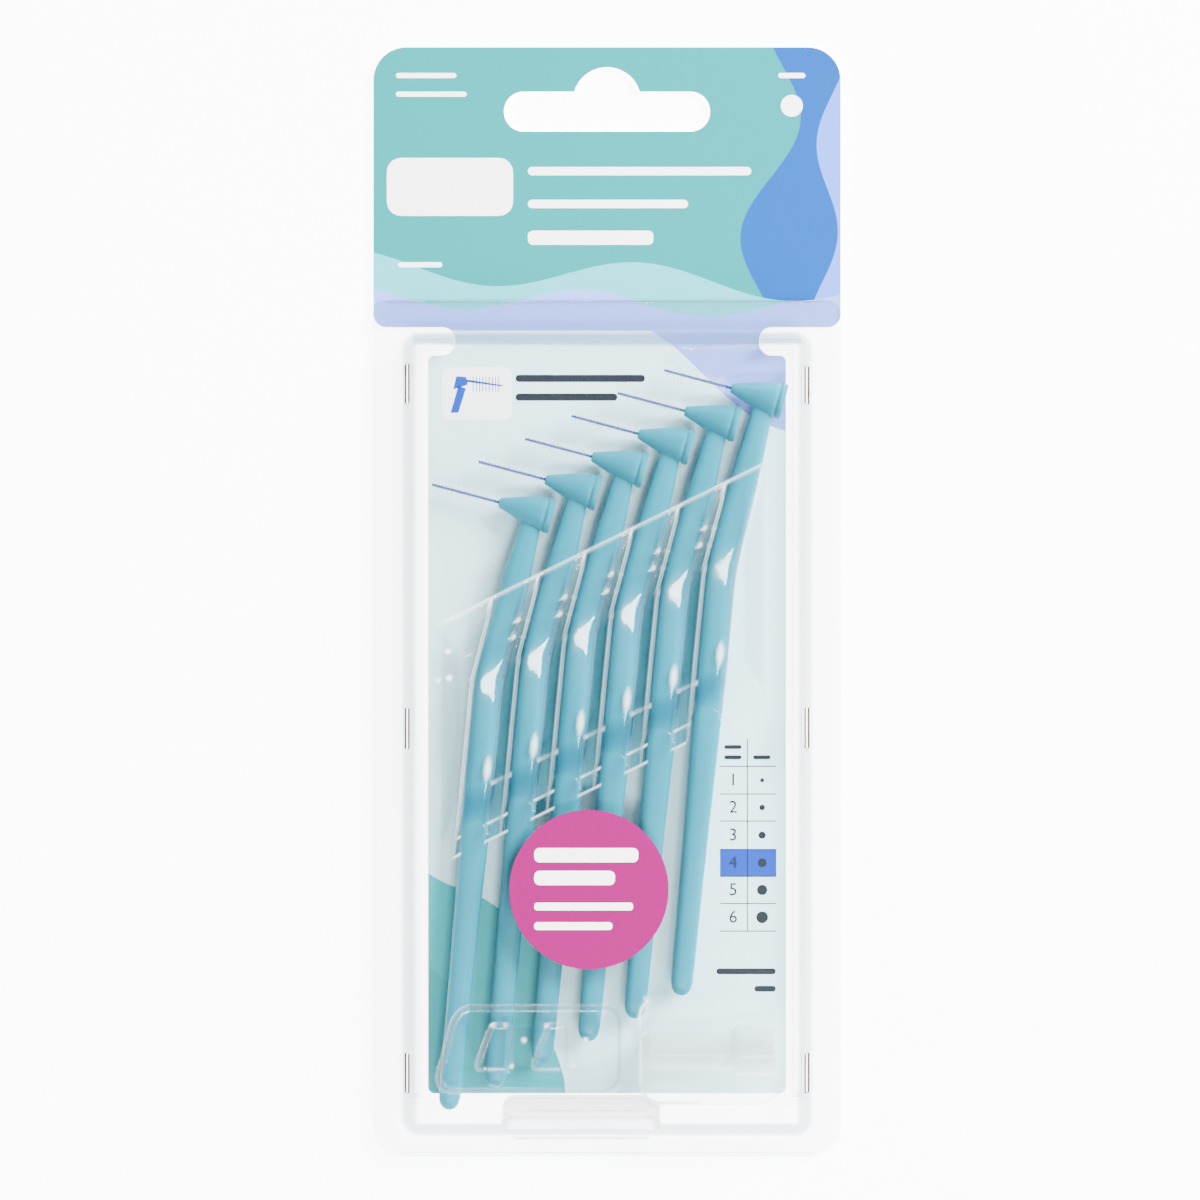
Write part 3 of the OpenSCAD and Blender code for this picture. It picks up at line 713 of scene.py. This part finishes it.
def disc(cx, cy, r, sides=20):
    return [(cx + r * math.cos(2 * math.pi * k / sides), cy + r * math.sin(2 * math.pi * k / sides))
            for k in range(sides)]


def ink_piece(name, shapes, material, body, z, lift=0.02):
    points, faces = [], []
    for shape in shapes:
        n, base = len(shape), len(points)
        points += [(x, y, z + lift) for x, y in shape] + [(x, y, z) for x, y in shape]
        faces.append([base + k for k in range(n)])
        faces.append([base + n + k for k in reversed(range(n))])
        faces += [[base + k, base + n + k, base + n + (k + 1) % n, base + (k + 1) % n]
                  for k in range(n)]
    return mesh_piece(name, points, faces, material, body, smooth=False)


def ink_material(name, code, roughness=0.4):
    material, tree, place = new_material(name)
    gloss = spread(tree, noise(tree, place, 4000.0, 3.0), roughness - 0.05, roughness + 0.08)
    finish_material(tree, principled(tree, linear(code), gloss, Specular_IOR_Level=0.06))
    return material


grey_ink = ink_material("offset ink, slate grey", "#1B2228")
white_ink = ink_material("offset ink, opaque white", "#FFFFFF")
blue_ink = ink_material("offset ink, table blue", "#003AA4")
print("inks ready")

# %% [markdown]
# White lies on the header, and slate grey and blue on the insert. The table is two
# columns between level rules, with a dot in each row that grows down the column.

# %% Print on the card
white_shapes = [
    bar(-32.8, -23.4, 81.3, 82.1, 0.4), bar(-32.8, -21.8, 78.4, 79.2, 0.4),
    bar(26.6, 30.8, 81.3, 82.1, 0.4), disc(28.7, 77.0, 1.7, 32),
    bar(-34.2, -14.6, 59.9, 68.9, 2.2), bar(-12.3, 22.4, 66.2, 67.5, 0.65),
    bar(-12.3, 12.6, 61.1, 62.4, 0.65), bar(-12.3, 7.2, 55.4, 57.6, 0.8),
    bar(-32.5, -25.6, 51.9, 52.7, 0.4),
]
TABLE_LEFT, TABLE_RIGHT, TABLE_TOP = 17.55, 26.3, -21.3
rules = [-25.6, -29.9, -34.1, -38.5, -42.7, -46.9, -51.2]
row_middles = [(a + b) / 2 for a, b in zip(rules, rules[1:])]
grey_shapes = [bar(TABLE_LEFT, TABLE_RIGHT, y - 0.07, y + 0.07) for y in rules]
grey_shapes += [bar(21.73, 21.87, rules[-1], TABLE_TOP)]
grey_shapes += [bar(18.2, 20.9, -22.9, -22.3, 0.3), bar(18.2, 20.9, -24.5, -23.9, 0.3),
                bar(22.7, 25.4, -24.5, -23.9, 0.3)]
grey_shapes += [disc(24.1, y, 0.32 + 0.12 * k, 24) for k, y in enumerate(row_middles)]
grey_shapes += [bar(-14.2, 5.9, 34.1, 35.2, 0.5), bar(-14.2, 1.6, 31.2, 32.3, 0.5)]
grey_shapes += [bar(17.0, 26.2, -57.9, -57.0, 0.4), bar(22.9, 26.2, -60.6, -59.7, 0.4)]
blue_shapes = [bar(TABLE_LEFT, TABLE_RIGHT, -42.63, -38.57)]
ink_piece("card_print_white", white_shapes, white_ink, "pack_base", CARD_TOP)
ink_piece("card_print_blue", blue_shapes, blue_ink, "pack_base", CARD_TOP)
ink_piece("card_print_grey", grey_shapes, grey_ink, "pack_base", CARD_TOP, 0.03)
print("print:", len(white_shapes) + len(blue_shapes) + len(grey_shapes), "shapes")

# %% [markdown]
# The picture box on the card shows a small brush sign: a bar for the grip, a cone and a
# line. The table's left column has the plain numbers 1 to 6.

# %% Picture box and numbers
BOX_LIFT = 0.015
ink_piece("card_picture_box", [bar(-25.7, -14.8, 28.2, 36.4, 1.2)], white_ink, "pack_base", CARD_TOP,
          BOX_LIFT)
sign = [[(-24.3, 29.3), (-23.1, 29.3), (-21.9, 33.1), (-23.1, 33.5)],
        [(-23.9, 32.9), (-21.6, 33.7), (-21.9, 34.9), (-23.4, 35.0)],
        [(-21.8, 34.1), (-16.2, 33.4), (-16.2, 33.6), (-21.8, 34.5)]]
sign += [bar(x - 0.06, x + 0.06, 32.6, 34.9) for x in np.arange(-20.8, -16.4, 0.5)]
ink_piece("card_picture_sign", sign, blue_ink, "pack_base", CARD_TOP + BOX_LIFT, 0.02)


def numeral(text, x, y, z, size):
    """Points and faces of a short text, centred on a place."""
    curve = bpy.data.curves.new("numeral", "FONT")
    curve.body = text
    curve.size = size * MM
    curve.align_x = curve.align_y = "CENTER"
    curve.extrude = 0.01 * MM
    holder = bpy.data.objects.new("numeral", curve)
    bpy.context.scene.collection.objects.link(holder)
    mesh = bpy.data.meshes.new_from_object(holder)
    bpy.data.objects.remove(holder)
    points = [(v.co.x / MM + x, v.co.y / MM + y, v.co.z / MM + z) for v in mesh.vertices]
    faces = [list(p.vertices) for p in mesh.polygons]
    bpy.data.meshes.remove(mesh)
    return points, faces


points, faces = joined([numeral(str(k + 1), 19.6, y, CARD_TOP + 0.03, 2.7)
                        for k, y in enumerate(row_middles)])
mesh_piece("card_table_numbers", points, faces, grey_ink, "pack_base", smooth=False)
print("numbers:", len(points), "points")

# %% [markdown]
# ## Round label
# A die-cut paper label in one fluorescent magenta, matt, with plain white bars where
# such a label has words. Its fibre shows as a very fine bump and a trace of mottle.

# %% Label
def label_paper():
    material, tree, place = new_material("fluorescent magenta label paper")
    fibre = noise(tree, place, 2500.0, 4.0)
    tone = mix_colours(tree, fibre, "#72004E", "#7A0056")
    gloss, bump = spread(tree, fibre, 0.42, 0.55), bumped(tree, fibre, 0.1, 0.00003)
    finish_material(tree, principled(tree, tone, gloss, Specular_IOR_Level=0.08, Normal=bump))
    return material


dress("round_label", label_paper())
LABEL_X, LABEL_Y, LABEL_TOP = -2.8, -44.3, 8.70
label_bars = [bar(LABEL_X - 8.4, LABEL_X + right, LABEL_Y + low, LABEL_Y + high, r)
              for right, low, high, r in ((7.6, 4.2, 6.4, 0.8), (4.0, 0.7, 2.9, 0.8),
                                          (6.8, -3.2, -2.0, 0.5), (3.6, -6.2, -5.0, 0.5))]
ink_piece("label_print", label_bars, white_ink, "front_half", LABEL_TOP)
print("label dressed")

# %% [markdown]
# ## Travel cap
# The cap is injection-moulded polypropylene without pigment. PP is a little milky, and
# a 0.5 mm wall seen through twice looks like soft ice, most of all at its outline, where
# more plastic lies in line. So the clear layer is mixed with a cloud that grows towards
# edge on. The mirror layer is kept to a quarter, or the outline would turn to chrome.

# %% Cap
def natural_pp():
    material, tree, place = new_material("natural polypropylene, moulded")
    flow = noise(tree, place, 140.0, 3.0)
    bump = bumped(tree, flow, 0.12, 0.0002)
    clear = add_node(tree, "ShaderNodeBsdfTransparent", {"Color": linear("#FCFEFF")}).outputs[0]
    facing = add_node(tree, "ShaderNodeLayerWeight", {"Blend": 0.5}).outputs["Facing"]
    rim = math_node(tree, "POWER", facing, 3.0)
    milky = math_node(tree, "MULTIPLY_ADD", rim, 0.8, spread(tree, flow, 0.20, 0.30), use_clamp=True)
    body = mix_shaders(tree, milky, clear, cloudy(tree, "#F0FCFF", 0.15))
    share = math_node(tree, "MINIMUM", mirror_share(tree, bump, 0.02), 0.25)
    finish_material(tree, mix_shaders(tree, share, body, mirror(tree, 0.12, bump)))
    return material


dress("protective_cap", natural_pp())
print("cap dressed")

# %% [markdown]
# ## Brush handles
# Each handle is one moulding of cyan polypropylene: a grip, a neck that leans 9.5 degrees
# more, and a bell-shaped head across it with a groove and a disc at its back. A loft
# suits it: one section is swept down a centre line, with its width and thickness read
# from a table of shares of the length. The section is a rectangle with two chamfers at
# each corner, and cutting its corners twice rounds them as a mould cutter would.

# %% Handle form
RING_SHARES = [(0.0, 0.62, 0.50), (0.032, 0.70, 0.64), (0.070, 0.80, 0.84), (0.107, 0.89, 0.94),
               (0.180, 0.96, 1.0), (0.262, 1.0, 1.0), (0.480, 1.0, 1.0), (0.660, 0.87, 0.94),
               (0.800, 0.78, 0.87), (0.930, 0.74, 0.82), (0.978, 0.71, 0.80), (0.989, 0.62, 0.72),
               (0.9965, 0.44, 0.54), (1.0, 0.18, 0.26)]
LENGTH = NECK + GRIP
HALF_WIDTH, HALF_THICK = 2.35, 1.90


def rounded_section():
    quarter = [(1.0, 0.34), (0.86, 0.72), (0.46, 1.0)]
    loop = quarter + [(-x, z) for x, z in reversed(quarter)]
    loop = loop + [(x, -z) for x, z in reversed(loop)]
    loop = np.array(loop)
    for _ in range(2):
        after = np.roll(loop, -1, axis=0)
        loop = np.stack([loop * 0.8 + after * 0.2, loop * 0.2 + after * 0.8], 1).reshape(-1, 2)
    return loop * 1.01


SECTION = rounded_section()


def lean_at(d):
    """Lean of the centre line at distance d below the head, with a short round bend."""
    reach = 4.0
    return NECK_LEAN + (GRIP_LEAN - NECK_LEAN) * np.clip((d - NECK + reach) / (2 * reach), 0, 1)


TAIL = 3
steps = np.concatenate([np.arange(0, LENGTH - TAIL, 0.75),
                        LENGTH - TAIL + TAIL * np.sin(np.linspace(0, math.pi / 2, 12))])
leans = lean_at(steps)
middle_leans = lean_at((steps[1:] + steps[:-1]) / 2)
run = np.diff(steps)
line = np.zeros((len(steps), 2))
line[1:, 0] = np.cumsum(-np.sin(middle_leans) * run)
line[1:, 1] = np.cumsum(-np.cos(middle_leans) * run)
shares = np.array(RING_SHARES)
widths = np.interp(steps / LENGTH, shares[:, 0], shares[:, 1]) * HALF_WIDTH
thicks = np.interp(steps / LENGTH, shares[:, 0], shares[:, 2]) * HALF_THICK
print("handle rings:", len(steps))

# %% [markdown]
# The head is turned about its own axis, which lies square across the neck. on_head gives
# a point from its lengths along that axis, up from it and out of the front, and the wire
# and the bristles use it too.

# %% Handle mesh
def loft(rings):
    """Points and faces of a closed tube through rings of equally many points."""
    points = np.concatenate(rings)
    n = len(rings[0])
    faces = []
    for i in range(len(rings) - 1):
        for k in range(n):
            a, b = i * n + k, i * n + (k + 1) % n
            faces.append([a, a + n, b + n, b])
    faces.append([k for k in range(n)])
    last = (len(rings) - 1) * n
    faces.append([last + k for k in reversed(range(n))])
    return points, faces


def handle_bar():
    rings = []
    for place, lean, w, t in zip(line, leans, widths, thicks):
        side = np.array([math.cos(lean), -math.sin(lean)])
        rings.append([(*(place + side * s[0] * w), s[1] * t) for s in SECTION])
    return loft(rings)


HEAD_PROFILE = [(0.0, 0.0), (0.0, 0.20), (0.012, 0.255), (0.03, 0.285), (0.12, 0.37), (0.22, 0.475),
                (0.32, 0.58), (0.42, 0.68), (0.52, 0.775), (0.61, 0.85), (0.69, 0.902), (0.76, 0.934),
                (0.82, 0.95), (0.842, 0.945), (0.855, 0.915), (0.870, 0.905), (0.885, 0.93),
                (0.900, 0.975), (0.912, 0.992), (0.925, 1.0), (0.965, 1.0), (0.985, 0.985),
                (1.0, 0.94), (1.0, 0.0)]
HEAD_LENGTH, HEAD_RADIUS, NOSE = 8.5, 2.8, 5.6
ALONG_HEAD = np.array([math.cos(NECK_LEAN), -math.sin(NECK_LEAN)])
UP_HEAD = np.array([math.sin(NECK_LEAN), math.cos(NECK_LEAN)])


def on_head(along, up, out):
    flat = ALONG_HEAD * along + UP_HEAD * up
    return flat[0], flat[1], out


def turned_head(sides=56):
    turns = [2 * math.pi * k / sides for k in range(sides)]
    return loft([[on_head(HEAD_LENGTH * share - NOSE, HEAD_RADIUS * out * math.cos(a),
                          HEAD_RADIUS * out * math.sin(a)) for a in turns]
                 for share, out in HEAD_PROFILE[1:-1]])


handle_points, handle_faces = joined([handle_bar(), turned_head()])
print("handle:", len(handle_points), "points")

# %% [markdown]
# ## Moulded cyan polypropylene
# Pigmented PP is a waxy plastic: light enters a little way and comes back softly, and
# its gloss is broad. So the colour has a trace of subsurface, roughness is near 0.35,
# IOR 1.49, and a fine bump stands for the mould's spark-eroded skin. The grain is about
# 0.1 mm, drawn at 0.25 mm so that it shows at all.

# %% Cyan PP
def cyan_pp():
    material, tree, place = new_material("cyan polypropylene, injection moulded")
    flow = noise(tree, place, 60.0, 3.0)
    tone = mix_colours(tree, flow, "#007A8E", "#008498")
    bump = bumped(tree, noise(tree, place, 4000.0, 2.0), 0.12, 0.00004)
    plastic = principled(tree, tone, spread(tree, flow, 0.30, 0.42), IOR=1.49, Normal=bump,
                         Specular_IOR_Level=0.25, Subsurface_Weight=0.05,
                         Subsurface_Radius=(0.3, 0.9, 1.0), Subsurface_Scale=0.0006)
    finish_material(tree, plastic)
    return material


handle_plastic = cyan_pp()
places = [np.array([*head, AXIS_Z]) for head in heads]
for i, place in enumerate(places):
    handle = mesh_piece(f"brush_{i + 1}_moulded_handle", handle_points + place, handle_faces,
                        handle_plastic, f"brush_{i + 1}")
    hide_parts(f"brush_{i + 1}_handle")
print("handles:", len(places))

# %% [markdown]
# ## Twisted wire
# The core is one thin wire folded in two and twisted, with the filaments caught in it.
# Two helical tubes show that twist, which a round rod can't. A tube follows each helix
# with a ring of six points every twelfth of a turn.

# %% Wire form
WIRE_REACH, WIRE_SET = 10.7, 4.0
TWIST = 1.05
STRAND_R = 0.14


def helix_tube(start, end, phase, sides=6, per_turn=12):
    rings = []
    for s in np.linspace(start, end, int((end - start) / TWIST * per_turn) + 1):
        a = 2 * math.pi * s / TWIST + phase
        ring = []
        for k in range(sides):
            b = 2 * math.pi * k / sides
            r, swing = STRAND_R * (1 + math.cos(b)), STRAND_R * math.sin(b)
            ring.append(on_head(s, math.cos(a) * r - math.sin(a) * swing,
                                math.sin(a) * r + math.cos(a) * swing))
        rings.append(ring)
    return loft(rings)


wire_points, wire_faces = joined([helix_tube(-NOSE - WIRE_REACH, -NOSE + WIRE_SET, phase)
                                  for phase in (0, math.pi)])
print("wire:", len(wire_points), "points")

# %% [markdown]
# The steel has a blue coat that wear has thinned here and there, so it is only partly
# a metal to the eye.

# %% Wire finish
def coated_wire():
    material, tree, place = new_material("stainless wire, blue coated")
    wear = noise(tree, place, 900.0, 3.0)
    tone = mix_colours(tree, wear, "#203C88", "#3456A4")
    finish_material(tree, principled(tree, tone, spread(tree, wear, 0.28, 0.5), Metallic=0.15,
                                     Specular_IOR_Level=0.3))
    return material


wire_metal = coated_wire()
for i, place in enumerate(places):
    wire = mesh_piece(f"brush_{i + 1}_twisted_wire", wire_points + place, wire_faces, wire_metal,
                      f"brush_{i + 1}")
    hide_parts(f"brush_{i + 1}_wire")
print("wires:", len(places))

# %% [markdown]
# ## Bristles
# Nylon filaments 0.06 mm thick stand out in a spiral along the twist. Each is a slim
# three-sided spike here, rooted between the wires. A seeded random spread keeps them
# uneven and the same on every run. They are so fine and clear that they hardly show
# against the card, so the finish is mostly see-through.

# %% Bristle form
rng = np.random.default_rng(7)
BRISTLES, TUFT_LENGTH, TUFT_RADIUS = 420, 9.3, 1.5
THIRDS = (0, 2.094, 4.189)
bristle_points, bristle_faces = [], []
for k in range(BRISTLES):
    s = -NOSE - WIRE_REACH + 0.45 + TUFT_LENGTH * (k + rng.uniform(-0.4, 0.4)) / BRISTLES
    a = 2 * math.pi * s / TWIST + math.pi / 2 + math.pi * (k % 2) + rng.uniform(-0.5, 0.5)
    lean = rng.uniform(-0.12, 0.12)
    reach = TUFT_RADIUS * rng.uniform(0.93, 0.99)
    base = len(bristle_points)
    for r, thick in ((0.10, 0.030), (reach, 0.022)):
        for b in THIRDS:
            side = thick * math.sin(b)
            bristle_points.append(on_head(s + lean * r + thick * math.cos(b),
                                          r * math.cos(a) - side * math.sin(a),
                                          r * math.sin(a) + side * math.cos(a)))
    bristle_faces += [[base + j for j in face] for face in (
        (0, 1, 4, 3), (1, 2, 5, 4), (2, 0, 3, 5), (2, 1, 0), (3, 4, 5))]
bristle_points = np.array(bristle_points)
print("bristles on each brush:", BRISTLES)

# %% [markdown]
# Drawn nylon is as clear as glass, and a filament is thinner than a pixel of the picture.

# %% Bristle finish
def clear_nylon():
    material, tree, place = new_material("clear nylon filament, extruded")
    through = add_node(tree, "ShaderNodeBsdfTransparent", {"Color": linear("#FFFFFF")}).outputs[0]
    tone = mix_colours(tree, noise(tree, place, 1500.0), "#E2EEF4", "#FBFEFF")
    finish_material(tree, mix_shaders(tree, 0.22, through, principled(tree, tone, 0.35, IOR=1.53)))
    return material


nylon = clear_nylon()
for i, place in enumerate(places):
    tuft = mesh_piece(f"brush_{i + 1}_filaments", bristle_points + place, bristle_faces, nylon,
                      f"brush_{i + 1}", smooth=False)
    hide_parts(f"brush_{i + 1}_bristles")
print("tufts:", len(places))

# %% [markdown]
# ## Studio
# A plain pale table, a bright even room, and five soft boxes. The large key box at the
# upper right lights the handles' right flanks and leaves their left chamfers darker. It
# is hidden from mirror-like rays, or the sheet would show it as stray streaks. The bend
# box gives the bright patches where the channels step at the bends, the head box a soft
# light on the heads, and the two narrow ones a glint along the top and the foot.

# %% Table and room
TABLE_HALF, TABLE_Z = 9, -0.0002
floor_material, tree, place = new_material("matt white table")
gloss = spread(tree, noise(tree, place, 200.0, 4.0), 0.75, 0.9)
finish_material(tree, principled(tree, linear("#F4F4F4"), gloss, Emission_Color=linear("#FFFFFF"),
                                 Emission_Strength=7.0))
floor_mesh = bpy.data.meshes.new("table")
floor_mesh.from_pydata([(x * TABLE_HALF, y * TABLE_HALF, TABLE_Z)
                        for x, y in ((-1, -1), (1, -1), (1, 1), (-1, 1))], [], [[0, 1, 2, 3]])
floor = bpy.data.objects.new("table", floor_mesh)
floor_mesh.materials.append(floor_material)
bpy.context.scene.collection.objects.link(floor)

world = bpy.data.worlds.new("studio")
bpy.context.scene.world = world
world.use_nodes = True
tree = world.node_tree
tree.nodes.clear()
way = add_node(tree, "ShaderNodeTexCoord").outputs["Generated"]
height = add_node(tree, "ShaderNodeSeparateXYZ", {"Vector": way}).outputs["Z"]
level = add_node(tree, "ShaderNodeMapRange", {"Value": height, "From Min": 0.25, "From Max": 0.50,
                                              "To Min": 3.2, "To Max": 0.5}).outputs[0]
room = add_node(tree, "ShaderNodeBackground", {"Color": (1, 1, 1, 1), "Strength": level})
add_node(tree, "ShaderNodeOutputWorld", {"Surface": room.outputs[0]})
print("table and room ready")

# %% [markdown]
# A box's power follows from its size and radiance, so that it keeps its brightness in
# the mirror when its size changes.

# %% Soft boxes
def soft_box(name, place, wide, tall, radiance):
    """A rectangular soft box that faces the pack. wide is its level side."""
    lamp = bpy.data.lights.new(name, "AREA")
    lamp.shape = "RECTANGLE"
    lamp.size, lamp.size_y = wide, tall
    lamp.energy = radiance * math.pi * wide * tall
    box = bpy.data.objects.new(name, lamp)
    box.location = place
    box.rotation_euler = (-Vector(place)).to_track_quat("-Z", "Y").to_euler()
    bpy.context.scene.collection.objects.link(box)
    return box


key_box = soft_box("key_box", (0.74, 0.52, 0.58), 0.56, 0.56, 80)
key_box.visible_glossy = False
soft_box("head_box", (0.28, 0.26, 0.84), 0.16, 0.12, 34)
soft_box("bend_box", (0.12, -0.395, 0.82), 0.34, 0.10, 90)
soft_box("top_strip", (-0.10, 0.75, 0.30), 0.20, 0.08, 60)
soft_box("foot_box", (0.31, -0.62, 0.45), 0.24, 0.10, 60)
print("lights: 5 and the room")
